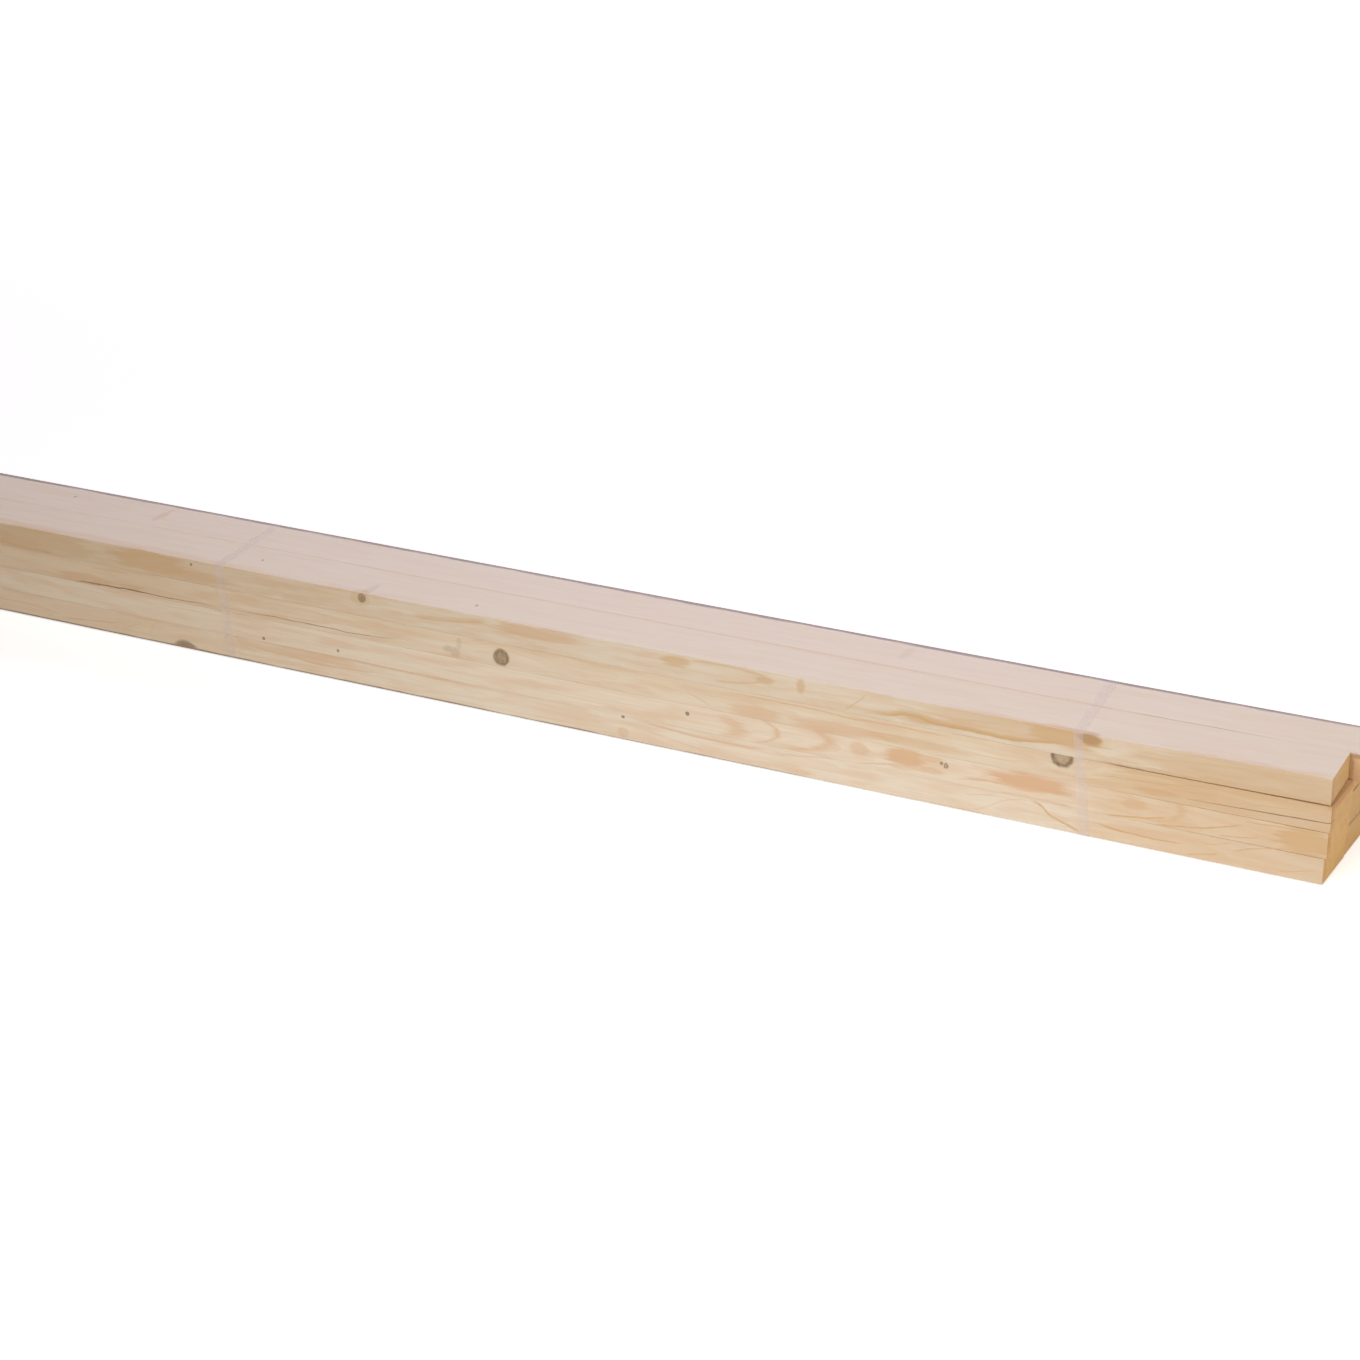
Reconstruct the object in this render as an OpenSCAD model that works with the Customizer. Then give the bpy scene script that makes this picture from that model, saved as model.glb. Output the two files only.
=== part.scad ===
// Bundle of sawn softwood planks, two columns of four, bound by three plastic straps.
// +X runs along the planks, +Y from the front column to the back one, +Z up.
// The origin is on the floor, under the middle of the bundle.

/* [Planks] */
// Length of each plank
plank_l = 1800; // [900:10:3600]
// Width of each plank, across the bundle
plank_w = 50; // [30:1:120]
// Thickness of each plank
plank_t = 19; // [12:0.5:40]
// Radius of the eased arrises
arris_r = 0.5; // [0.2:0.1:1.5]

/* [Stack] */
// Gap between one layer and the next
layer_gap = 0.2; // [0.1:0.1:0.8]
// Gap between the front and the back column
column_gap = 0.6; // [0.2:0.1:0.9]
// How far the ends of the inner layers stand out of line
end_stagger = 3; // [0:0.5:10]
// How far the top plank of the back column is pushed out at the right
top_push = 9; // [0:0.5:30]
// How far each gap of the front column opens at the free right end, past the strap
front_fan = 0.3; // [0.2:0.1:2]
// How far each gap of the back column opens at the free right end, past the strap
back_fan = 0.2; // [0.1:0.1:2]
// How much farther the gap under the top plank of the front column opens there
top_fan = 1; // [0:0.1:3]

/* [Straps] */
// Width of the strap
strap_w = 7.5; // [4:0.5:16]
// Thickness of the strap
strap_t = 0.5; // [0.3:0.05:1.2]
// Room between the strap and the wood
strap_slack = 0.1; // [0.05:0.05:0.4]
// Distance from the ends of the planks to the middle of the outer straps
strap_inset = 180; // [60:5:400]
// Angle by which the straps lean out of square, up the front and over the top
strap_slant = 6.5; // [0:0.5:12]
// Length over which the strap's ends are welded, one on the other
weld_l = 32; // [15:1:45]

/* [End check] */
// Length of the drying check at the right end of the upper front plank
check_l = 110; // [20:5:300]
// Depth of the check at the end of the plank
check_d = 16; // [4:1:28]
// Opening of the check at the end of the plank
check_open = 1.2; // [0.3:0.1:2]
// Height of the check above the plank's underside
check_z = 5; // [2:0.5:10]

/* [Hidden] */
$fn = 48;
layers = 4;
stack_w = 2 * plank_w + column_gap;
stack_h = layers * plank_t + (layers - 1) * layer_gap;
// How far each plank is shifted along X, from the bottom layer to the top one
front_shifts = [end_stagger / 2, end_stagger, end_stagger * 4 / 3, 0];
back_shifts = [end_stagger / 3, 0, end_stagger * 2 / 3, top_push];
all_shifts = concat(front_shifts, back_shifts);
// The stack's own middle, which puts the origin under the middle of the whole bundle
mid_x = -(max(all_shifts) + min(all_shifts)) / 2;
mid_y = -strap_t / 2;
strap_lift = strap_slack + strap_t;
strap_reach = plank_l / 2 - strap_inset;
layer_pitch = plank_t + layer_gap;
// A cut runs this far past the face that it leaves
cut_past = 1;

// Rectangle of w by h, standing on the middle of its lower side, with round corners
module eased_rectangle(w, h, r) {
    translate([-w / 2 + r, 0]) square([w - 2 * r, h]);
    translate([-w / 2, r]) square([w, h - 2 * r]);
    for (side = [-1, 1], level = [r, h - r])
        translate([side * (w / 2 - r), level]) circle(r);
}

// Straight bar between two places on X, with the section that is given
module along_x(from, to) {
    translate([from, 0, 0])
        rotate([90, 0, 90])
            linear_extrude(height = to - from) children();
}

module plank_section() {
    eased_rectangle(plank_w, plank_t, arris_r);
}

// How far a plank springs up in all: each gap below it opens, and the front column's top one farther
function spring(layer, side) =
    side > 0 ? layer * back_fan : layer * front_fan + (layer == layers - 1 ? top_fan : 0);

// Right end of a plank that is shifted along X
function right_end(shift) = mid_x + shift + plank_l / 2;

// Height that a sprung plank gains at x, on the arc from the strap to its end
function rise_at(x, shift, spring) = spring * pow((x - strap_reach) / (right_end(shift) - strap_reach), 2);

// Free end of a plank that bends upwards in an arc from start, and rises over its length
module sprung_end(start, length, rise) {
    bend_r = length * length / (2 * rise);
    bend_angle = length / bend_r * 180 / PI;
    translate([start, 0, bend_r])
        rotate([0, 90, -90])
            rotate_extrude(angle = bend_angle)
                translate([bend_r, 0]) rotate(90) plank_section();
}

// One plank of the stack: layer 0 lies lowest and flat, side -1 is the front column
module plank(layer, side, shift) {
    left = right_end(shift) - plank_l;
    straight_to = layer > 0 ? strap_reach : right_end(shift);
    translate([0, mid_y + side * (plank_w + column_gap) / 2, strap_lift + layer * layer_pitch]) {
        along_x(left, straight_to) plank_section();
        if (layer > 0)
            sprung_end(straight_to, right_end(shift) - straight_to, spring(layer, side));
    }
}

// Drying check: a wedge that is open at the plank's right end and closes along the front face
module end_check(layer, shift) {
    face_y = mid_y - stack_w / 2;
    level = strap_lift + layer * layer_pitch + check_z;
    tip = right_end(shift) - check_l;
    mouth = right_end(shift) + cut_past;
    tip_z = rise_at(tip, shift, spring(layer, -1));
    mouth_z = rise_at(mouth, shift, spring(layer, -1));
    translate([0, face_y, level])
        intersection() {
            translate([0, 0, -check_z])
                linear_extrude(height = plank_t)
                    polygon([[mouth, -cut_past], [mouth, check_d], [right_end(shift), check_d], [tip, -cut_past]]);
            rotate([90, 0, 0])
                translate([0, 0, -check_d - cut_past])
                    linear_extrude(height = check_d + 2 * cut_past)
                        polygon([[mouth, mouth_z - check_open / 2], [mouth, mouth_z + check_open / 2], [tip, tip_z]]);
        }
}

module front_plank(layer) {
    color("burlywood") plank(layer, -1, front_shifts[layer]);
}

module back_plank(layer) {
    color("wheat") plank(layer, 1, back_shifts[layer]);
}

module plank_front_1() { front_plank(0); }
module plank_front_2() { front_plank(1); }
module plank_front_3() {
    color("burlywood") difference() {
        front_plank(2);
        end_check(2, front_shifts[2]);
    }
}
module plank_front_4() { front_plank(3); }
module plank_back_1() { back_plank(0); }
module plank_back_2() { back_plank(1); }
module plank_back_3() { back_plank(2); }
module plank_back_4() { back_plank(3); }

// Slab through the origin that a strap leans in, thick enough for the strap's width
module strap_slab() {
    lean = tan(strap_slant);
    slab_t = strap_w / cos(strap_slant) / sqrt(1 + 2 * lean * lean);
    rotate([0, -atan(sin(strap_slant)), strap_slant])
        cube([slab_t, 4 * stack_w, 4 * stack_h], center = true);
}

// Strap pulled round the stack, with its ends welded together on the back, and x its place on the floor
module strap(x) {
    inner_w = stack_w + 2 * strap_slack;
    inner_h = stack_h + 2 * strap_slack;
    run = strap_w + (stack_w + stack_h) * tan(strap_slant);
    color("lavender") translate([x, mid_y, 0]) intersection() {
        union() {
            along_x(-run, run) difference() {
                eased_rectangle(inner_w + 2 * strap_t, inner_h + 2 * strap_t, arris_r + strap_t);
                translate([0, strap_t]) eased_rectangle(inner_w, inner_h, arris_r);
            }
            translate([-run, inner_w / 2 + strap_t, strap_t + (inner_h - weld_l) / 2])
                cube([2 * run, strap_t, weld_l]);
        }
        strap_slab();
    }
}

module strap_left() { strap(-strap_reach); }
module strap_middle() { strap(0); }
module strap_right() { strap(strap_reach); }

plank_front_1();
plank_front_2();
plank_front_3();
plank_front_4();
plank_back_1();
plank_back_2();
plank_back_3();
plank_back_4();
strap_left();
strap_middle();
strap_right();
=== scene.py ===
"""Strapped bundle of sawn spruce planks, dressed round its packed construction.

Geometry Nodes saw the planks and pull the straps, and procedural materials give the
grain, knots and stains. Run as a script: it isn't installed.
"""

import math
from collections import namedtuple

import bpy
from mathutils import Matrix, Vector, noise


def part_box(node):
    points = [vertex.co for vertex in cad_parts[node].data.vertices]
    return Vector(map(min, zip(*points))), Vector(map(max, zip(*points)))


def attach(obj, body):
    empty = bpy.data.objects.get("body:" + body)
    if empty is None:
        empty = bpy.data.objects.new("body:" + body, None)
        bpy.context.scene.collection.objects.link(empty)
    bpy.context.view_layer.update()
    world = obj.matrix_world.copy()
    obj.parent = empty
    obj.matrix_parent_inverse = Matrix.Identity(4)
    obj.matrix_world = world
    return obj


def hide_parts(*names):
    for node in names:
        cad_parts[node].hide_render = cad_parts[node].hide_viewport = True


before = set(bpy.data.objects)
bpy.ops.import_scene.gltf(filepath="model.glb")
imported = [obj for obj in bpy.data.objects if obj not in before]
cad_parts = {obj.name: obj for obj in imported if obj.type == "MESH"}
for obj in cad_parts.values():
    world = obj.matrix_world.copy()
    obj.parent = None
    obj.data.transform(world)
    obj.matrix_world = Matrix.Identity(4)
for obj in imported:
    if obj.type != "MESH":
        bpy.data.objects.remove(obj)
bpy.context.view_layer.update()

bl_info = {
    "name": "Strapped plank bundle",
    "version": (1, 0, 0),
    "blender": (4, 5, 0),
    "location": "View3D > Sidebar > Planks",
    "description": "Saws, stacks and straps a bundle of spruce planks",
    "category": "Object",
}

MM = 0.001
# What tints a mark in the wood: summer wood, resin, a line of painted shade along the back edge, and bark.
# The resin and bark colours also paint shade: dark lines in gaps, in a crack, at the right ends and along the
# bottom edge, and the shade on a ledge.
SUMMER, RESIN_AND_SHADE, EDGE_SHADE, BARK_AND_SHADE = range(4)

# A knot is a branch that leaves the plank at place, in mm: along the bundle from its middle,
# back from the plank's front face and up from its underside. It points along axis.
Knot = namedtuple("Knot", "place axis radius taper core rim")
# A stain is a soft patch with its half sizes in mm. With a tip it is only a crescent, that many mm
# wide at the patch's right end.
WHOLE_PATCH = 100000
Stain = namedtuple("Stain", "place reach strength tint tip", defaults=(WHOLE_PATCH,))
# A streak is a dark line on the front face, a line of the grain or of painted shade: its way as (x, height)
# in mm, and how far it fades out above the line, or below it where that is negative
Streak = namedtuple("Streak", "way fade strength tint")
# A check is a crack along the front face: its way as (x, height) in mm, then mouth and depth
Check = namedtuple("Check", "way mouth depth runs_out")
# The pith is the middle of the growth rings: its way along the plank as (x, back, height) in mm.
# The figure is how strongly the rings show, and the shade multiplies red, green and blue. The skew is
# how far the front edge of the right end stands past the back one, in mm, where the saw cut out of square.
Plank = namedtuple("Plank", "pith wander ring figure shade knots stains streaks checks skew",
                   defaults=((), (), 0.0))

# Heights in mm that the way of a streak and that of a pith keep between
STREAK_LEVELS = (-4.0, 24.0)
PITH_LEVELS = (-60.0, 120.0)
# The free ends rise with this power of the way along them
BEND = 1.1
# Waves of the saw in a metre, along a plank, across it and up it
SAW_WAVES = (14.0, 60.0, 60.0)
# Seed of the first plank's grain, and the step to the next one's
FIRST_SEED = 3.0
SEED_STEP = 7.0
# Edges that turn by less than this are shaded smooth
SMOOTH_TURN = math.radians(10)
# The floor lies this far below the straps, so that their faces don't fall together
FLOOR_DROP = 0.2 * MM

# Where a knot points: out of the front face, or out of the back one
OUT = (0.0, -1.0, 0.0)
BACK = (0.1, 0.99, 0.1)
PLANKS = {
    "plank_front_4": Plank(
        pith=((-910, 48, 2), (560, 26, 3), (910, 21, 4)), wander=9, ring=2.3, figure=0.4,
        shade=(0.98, 0.97, 0.94),
        knots=(
            Knot((130, 0, 15), (-0.1, -0.99, 0.12), 3.5, 0.03, 0.95, 0.3),
            Knot((-29.5, 0, 15.2), OUT, 1.2, 0.01, 0.9, 0.3),
            Knot((21.4, 25.6, 19), (0.3, -0.7, 0.65), 1.2, 0.02, 0.7, 0.3),
            Knot((222, 18.2, 19), (0.3, -0.7, 0.65), 1.3, 0.02, 0.7, 0.4),
        ),
        stains=(
            Stain((132, 9, 19), (4.5, 13, 4), 0.16, BARK_AND_SHADE),
            Stain((128, 0, 15), (10, 8, 6), 0.5, RESIN_AND_SHADE),
            Stain((-420, 0, 9), (640, 12, 70), 0.35, RESIN_AND_SHADE),
            Stain((-185, 0, 10), (75, 8, 14), 0.6, RESIN_AND_SHADE),
            Stain((-70, 0, 10), (45, 8, 12), 0.72, RESIN_AND_SHADE),
            Stain((-25, 0, 6), (40, 8, 6), 0.55, RESIN_AND_SHADE),
            Stain((281, 0, 14), (38, 8, 5.5), 0.65, SUMMER),
            Stain((260, 0, 15), (10, 8, 4), 0.5, SUMMER),
            Stain((402, 0, 13.5), (13, 8, 5), 0.6, RESIN_AND_SHADE),
            Stain((476, 0, 12), (7, 8, 3), 0.5, RESIN_AND_SHADE),
            Stain((504, 0, 13), (4, 8, 6), 0.55, RESIN_AND_SHADE),
            Stain((600, 0, 6.5), (18, 8, 4), 0.6, RESIN_AND_SHADE),
            Stain((660, 0, 14), (62, 8, 9), 0.4, RESIN_AND_SHADE),
            Stain((706, 0, 14.5), (34, 8, 9), 0.75, RESIN_AND_SHADE),
            Stain((726, 0, 15.5), (11, 8, 5.5), 0.95, RESIN_AND_SHADE),
            Stain((726, 0, 16), (10, 8, 5), 0.33, BARK_AND_SHADE),
            Stain((850, 0, 9), (95, 10, 16), 0.46, RESIN_AND_SHADE),
            Stain((850, 0, 0), (120, 10, 7), 0.62, RESIN_AND_SHADE),
        ),
        streaks=(
            Streak(((-260, 3.6), (-218, 2.3), (-200, 1.5), (-182, 1.1), (-150, 0.2)), 4.5, 0.88, RESIN_AND_SHADE),
            Streak(((170, 8.2), (199, 8.4), (220, 10.9), (246, 15.8)), 6, 0.61, RESIN_AND_SHADE),
            Streak(((408, 17), (430, 17.9), (452, 18), (468, 16.9), (484, 14)), -3, 0.54, RESIN_AND_SHADE),
            Streak(((430, 3.6), (445, 4.6), (460, 6.7), (472, 9.8), (483, 14)), 2.5, 0.54, RESIN_AND_SHADE),
            Streak(((538, 0.6), (545, 6.6), (552, 12.6), (557, 19)), -1.4, 0.68, RESIN_AND_SHADE),
            Streak(((546, -1.5), (560, 2.6), (575, 3.8), (585, 6.2), (595, 6.4), (608, 3.9), (635, 4.1),
                    (665, 3.2), (684, 5), (698, 7.3), (713, 9), (738, 12.4)), 7, 0.94, RESIN_AND_SHADE),
            # Painted shade: a dark line along the bottom edge where the gap under the plank opens towards the
            # right end.
            Streak(((728, 0.4), (750, 0.3), (780, 0), (820, -0.4), (850, -1)), 1.3, 0.8, BARK_AND_SHADE),
        ),
        skew=3.0,
    ),
    "plank_front_3": Plank(
        pith=((-910, 10, 14), (250, 24, 10), (910, 33, 7)), wander=8, ring=2.4, figure=0.4,
        shade=(1.03, 1.01, 0.965),
        knots=(
            Knot((253.3, 0, 7.9), (0.1, -0.99, 0.05), 6.4, 0.015, 0.95, 0.6),
            Knot((706.2, 0, 18), (-0.1, -0.99, 0.05), 7.8, 0.015, 0.65, 0.9),
        ),
        stains=(
            Stain((-420, 0, 9), (560, 12, 70), 0.3, RESIN_AND_SHADE),
            Stain((207, 0, 6.5), (5, 8, 3), 0.2, BARK_AND_SHADE),
            Stain((213, 0, 5), (5, 8, 4), 0.2, BARK_AND_SHADE),
            Stain((216.5, 0, 12), (2.5, 8, 6), 0.12, BARK_AND_SHADE),
            # Painted shade: the ledge of the top face left bare at the right end is darkened to the tone of
            # the shaded ends.
            Stain((903, 25, 19), (9, 70, 5), 0.9, RESIN_AND_SHADE),
            Stain((850, 0, 9), (150, 10, 16), 0.5, RESIN_AND_SHADE),
            Stain((845, 0, 19), (130, 10, 6), 0.66, RESIN_AND_SHADE),
            # A faint broad tint, darker along the top edge and fading downwards.
            Stain((200, 0, 19), (900, 12, 7), 0.16, RESIN_AND_SHADE),
            Stain((-137, 0, 4), (36, 8, 4.5), 0.6, SUMMER),
            Stain((-90, 0, 4.5), (13, 8, 2.5), 0.6, SUMMER),
            Stain((234, 0, 16.7), (6, 8, 1.5), 0.4, SUMMER),
            Stain((468, 0, 4.5), (24, 8, 6), 0.5, SUMMER),
            Stain((532, 0, 4.5), (42, 8, 6), 0.5, SUMMER),
            Stain((600, 0, 6), (40, 8, 4), 0.4, RESIN_AND_SHADE),
            Stain((775, 0, 5.6), (17, 8, 3), 0.7, SUMMER),
        ),
        streaks=(
            Streak(((-132, 13.4), (-112, 15.2), (-88, 14.4)), 1.5, 0.54, SUMMER),
            Streak(((410, 10), (421, 6.5), (433, 1.5)), 2, 0.47, SUMMER),
            Streak(((435, 16), (464, 16.2), (500, 16), (522, 15.9), (543, 14.5), (565, 15.5), (600, 15.4),
                    (640, 15)), 2, 0.74, SUMMER),
            Streak(((634, 8), (650, 6.6), (668, 8), (684, 12)), 1.5, 0.41, SUMMER),
            Streak(((734, 14.6), (760, 15.8), (788, 17.6)), 1, 0.54, SUMMER),
            Streak(((728, 11.6), (748, 10.6), (772, 11.6), (794, 13.5), (806, 15.6)), 2, 0.85, RESIN_AND_SHADE),
            Streak(((755, 8), (788, 9), (830, 12.5)), 1.2, 0.47, SUMMER),
            Streak(((796, 4.2), (804, 5.2), (812, 6.4)), 1, 0.68, SUMMER),
            Streak(((832, 9.5), (862, 11.4), (892, 14)), 1.6, 0.85, RESIN_AND_SHADE),
            # Painted shade: a dark line along the check below, inside the crack.
            Streak(((-147, 0.1), (-134, 1.3), (-112, 1.7), (-95, 2.2), (-66, 2)), 1, 0.7, BARK_AND_SHADE),
        ),
        checks=(
            Check(((798, 4.6), (822, 5.2), (844, 5.8), (865, 6.2), (902, 7)), 1.2, 14, True),
            Check(((-147, 0.1), (-134, 1.3), (-126, 0.9), (-112, 1.7), (-103, 1.5), (-95, 2.2), (-82, 1.9),
                   (-66, 2), (-53, 1.6), (-37, 2.2), (-24, 2.8), (-6, 2.6)), 1.2, 8, False),
            Check(((-6, 2.7), (20, 3.3), (45, 3.8), (66, 3.6), (104, 3.8), (114, 2.9), (128, 3.5),
                   (145, 4.3), (161, 6.4)), 0.8, 6, False),
        ),
    ),
    "plank_front_2": Plank(
        pith=((-910, 9, 5), (100, 4, 7), (400, 0, 8.2), (430, 0, 8.4), (620, 18, 8.6), (760, 22, 4),
              (910, 32, -2)),
        wander=1.5, ring=3.7, figure=0.4, shade=(1.08, 1.07, 1.06),
        knots=(
            Knot((615.6, 0, 13.6), OUT, 1.4, 0.01, 0.8, 0.3),
            Knot((619, 0, 12.3), OUT, 1.8, 0.01, 0.8, 0.4),
            Knot((36.6, 0, 2.9), OUT, 1.3, 0.01, 0.9, 0.4),
            Knot((106, 0, 5.4), OUT, 1.3, 0.01, 0.9, 0.3),
            Knot((412, 0, 12), OUT, 1.6, 0.01, 0.9, 0.4),
        ),
        stains=(
            Stain((-420, 0, 9), (560, 12, 70), 0.12, RESIN_AND_SHADE),
            Stain((443, 0, 7), (19, 8, 8.5), 0.6, SUMMER, tip=13),
            Stain((438.5, 0, 10.5), (56, 8, 14.4), 0.6, SUMMER, tip=4.5),
            Stain((459, 0, 12.5), (81, 8, 16), 0.65, SUMMER, tip=9),
            Stain((551, 0, 11.7), (8, 8, 5.5), 0.5, SUMMER),
            Stain((587, 0, 12), (17, 8, 8.5), 0.9, SUMMER),
            Stain((606, 0, 15), (12, 8, 2.5), 0.6, SUMMER),
            Stain((608, 0, 6.5), (12, 8, 3), 0.6, SUMMER),
            Stain((683, 0, 12.5), (34, 8, 7), 0.95, SUMMER),
            Stain((760, 0, 12), (10, 8, 4), 0.55, SUMMER),
            Stain((760, 0, 14), (42, 8, 15), 0.5, SUMMER, tip=6),
            Stain((884, 0, 10), (26, 10, 12), 0.78, RESIN_AND_SHADE),
            Stain((850, 0, 9), (140, 10, 16), 0.38, RESIN_AND_SHADE),
        ),
        streaks=(
            Streak(((544, -0.6), (564, 2.3), (581, 5.3), (606, 4.6), (616, 7.4)), 1.6, 0.74, SUMMER),
            Streak(((624, 2.4), (645, 6.2), (665, 6.7), (684, 6.7), (698, 8.6), (718, 7.2)), 4, 0.81, SUMMER),
            Streak(((638, 6), (661, 15.4), (677, 18.6), (698, 18.6), (718, 16.4)), -3, 0.61, SUMMER),
            Streak(((655, 0.2), (690, 0.9), (720, 0.1)), 1.6, 0.68, SUMMER),
            Streak(((735, -0.8), (752, 0.8), (775, 4.2), (790, 8.4)), 2.4, 1.0, RESIN_AND_SHADE),
            Streak(((768, -0.8), (798, 2.3), (815, 5.4), (832, 10.4), (847, 15.6)), 2.4, 1.0, RESIN_AND_SHADE),
            Streak(((818, 1), (844, 4.2), (856, 6.8)), 2, 0.9, RESIN_AND_SHADE),
            Streak(((832, 15.2), (865, 16.7), (902, 18.2)), 1.5, 0.95, RESIN_AND_SHADE),
            Streak(((856, -0.8), (884, 3), (904, 5.4)), 1.6, 0.95, RESIN_AND_SHADE),
        ),
    ),
    "plank_front_1": Plank(
        pith=((-910, 18, 11), (8, 13, 13), (400, 16, 14), (910, 26, 2)), wander=5, ring=2.8, figure=0.4,
        shade=(1.08, 1.09, 1.1),
        knots=(
            Knot((-40, 0, 1), OUT, 3.4, 0.02, 0.5, 0.1),
            Knot((358, 0, 18.4), OUT, 1.4, 0.01, 0.9, 0.4),
        ),
        stains=(
            Stain((-420, 0, 9), (560, 12, 70), 0.33, RESIN_AND_SHADE),
            # Painted shade: a thin dark line along the bottom edge, for the contact shadow at the floor.
            Stain((-200, 0, 0), (760, 6, 1.3), 0.75, BARK_AND_SHADE),
            Stain((-40, 0, 0), (10, 8, 5), 0.68, BARK_AND_SHADE),
            Stain((75, 0, 15), (65, 8, 4), 0.4, SUMMER),
            Stain((850, 0, 9), (140, 10, 16), 0.36, RESIN_AND_SHADE),
            Stain((315, 0, 9.5), (36, 8, 10), 0.25, SUMMER),
            Stain((318, 0, 6), (20, 8, 3), 0.3, SUMMER),
            Stain((358, 0, 5), (5, 8, 5), 0.5, SUMMER),
            Stain((503, 0, 3), (13, 8, 2), 0.5, SUMMER),
        ),
        streaks=(
            Streak(((-262, 8.4), (-218, 9.7), (-189, 9.3), (-158, 6)), 1.6, 0.68, SUMMER),
            Streak(((-165, 3.6), (-141, 5.6), (-112, 8.5), (-96, 11.6)), 2, 0.74, SUMMER),
            Streak(((-102, 1.4), (-91, 9.8), (-80, 13)), 1.5, 0.47, SUMMER),
            Streak(((-76, 1.4), (-71, 11), (-67, 19)), -1.2, 0.74, SUMMER),
            Streak(((9, 17), (26, 12.7), (47, 11.4), (66, 10.9), (85, 9.2), (107, 9.9), (132, 11.2),
                    (150, 13.6)), 3, 0.74, SUMMER),
            Streak(((9, 16.2), (26, 18.7), (60, 19), (150, 19), (180, 18.8), (245, 18.8)),
                   -2.5, 0.74, SUMMER),
            Streak(((360, 18.8), (380, 16.5), (410, 14.3), (440, 13.6), (465, 13.8), (484, 16)),
                   3, 0.81, SUMMER),
            Streak(((478, 14), (500, 15), (522, 17.9), (540, 19.6)), 1.5, 0.61, SUMMER),
            Streak(((373, 10.4), (397, 7.7), (432, 2)), 2, 0.41, SUMMER),
            Streak(((634, 0.6), (646, 3.7), (663, 13), (673, 16.5), (688, 17.5)), 1.2, 0.54, SUMMER),
            Streak(((682, 17.6), (692, 15), (698, 10), (711, 5), (726, 0.4)), 3, 0.9, RESIN_AND_SHADE),
            Streak(((632, 12.4), (648, 14.8), (660, 16.6)), 1, 0.61, SUMMER),
            Streak(((726, 13.2), (744, 9.2), (761, 8.2), (788, 8), (806, 10.4)), 2.6, 1.0, RESIN_AND_SHADE),
            Streak(((830, 9.6), (846, 15.4), (864, 19.4)), 2, 0.95, RESIN_AND_SHADE),
            Streak(((797, 0.4), (815, 4.8), (826, 6.6)), 2, 0.9, RESIN_AND_SHADE),
            Streak(((810, 11.6), (822, 14), (834, 17.6)), 1.6, 0.8, RESIN_AND_SHADE),
            Streak(((862, 2), (880, 6), (898, 11)), 2, 0.8, RESIN_AND_SHADE),
        ),
    ),
    "plank_back_4": Plank(
        pith=((-910, 85, 5), (200, 96, 8), (910, 103, 10)), wander=10, ring=1.9, figure=0.25,
        shade=(1.0, 0.99, 0.97),
        knots=(
            Knot((-203, 29.8, 19), (0.3, -0.7, 0.65), 1.2, 0.02, 0.7, 0.4),
            Knot((-560, 50, 9), BACK, 6.0, 0.02, 0.95, 0.5),
            Knot((330, 50, 6), BACK, 4.0, 0.02, 0.9, 0.5),
        ),
        stains=(
            Stain((-111, 25, 19), (4, 14, 4), 0.45, RESIN_AND_SHADE),
            Stain((552, 29, 19), (4, 13, 4), 0.1, BARK_AND_SHADE),
            # Painted shade: a thin dark grey line along the back top edge, with a darker core in the bark
            # colour, stands in for the shaded back edge.
            Stain((0, 50, 19), (9000, 4.8, 1.2), 0.95, EDGE_SHADE),
            Stain((0, 50, 19), (9000, 3.8, 1), 0.75, BARK_AND_SHADE),
            Stain((560, 0, 19), (620, 2.4, 3), 0.4, RESIN_AND_SHADE),
            Stain((850, 0, 19), (125, 2.2, 3), 0.42, BARK_AND_SHADE),
            # Painted shade: the end that stands out past the front plank is darkened, with a darker strip at
            # its corner, where it lies in shade.
            Stain((902, 0, 10), (18, 6, 16), 0.7, RESIN_AND_SHADE),
            Stain((896, 0, 11), (3, 4, 12), 0.35, BARK_AND_SHADE),
        ),
    ),
    "plank_back_3": Plank(
        pith=((-910, 93, 8), (0, 82, 12), (910, 71, 16)), wander=10, ring=2.6, figure=0.5,
        shade=(0.98, 0.97, 0.95),
        knots=(
            Knot((-240, 50, 11), BACK, 7.0, 0.02, 0.95, 0.5),
            Knot((610, 50, 3), BACK, 3.5, 0.02, 0.9, 0.5),
        ),
        stains=(
            Stain((-420, 50, 9), (80, 12, 8), 0.6, RESIN_AND_SHADE),
            # Painted shade: a narrow dark strip on the end face at its front edge, for the shadow in the
            # recess at the column gap.
            Stain((897, 0, 10), (5, 1.6, 13), 0.9, BARK_AND_SHADE),
            Stain((897, 11, 8.4), (5, 12, 0.9), 0.9, BARK_AND_SHADE),
        ),
    ),
    "plank_back_2": Plank(
        pith=((-910, 35, 10), (-150, 58, 8), (910, 90, 6)), wander=6, ring=2.8, figure=0.5,
        shade=(1.0, 1.0, 1.0),
        knots=(
            Knot((120, 50, 8), BACK, 5.0, 0.02, 0.95, 0.5),
            Knot((-700, 50, 14), BACK, 2.0, 0.02, 0.9, 0.4),
        ),
        stains=(Stain((480, 50, 10), (60, 12, 6), 0.6, RESIN_AND_SHADE),),
    ),
    "plank_back_1": Plank(
        pith=((-910, 60, -2), (300, 74, 4), (910, 81, 7)), wander=8, ring=2.9, figure=0.5,
        shade=(1.0, 0.99, 0.97),
        knots=(
            Knot((-90, 50, 13), BACK, 6.0, 0.02, 0.95, 0.5),
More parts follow.
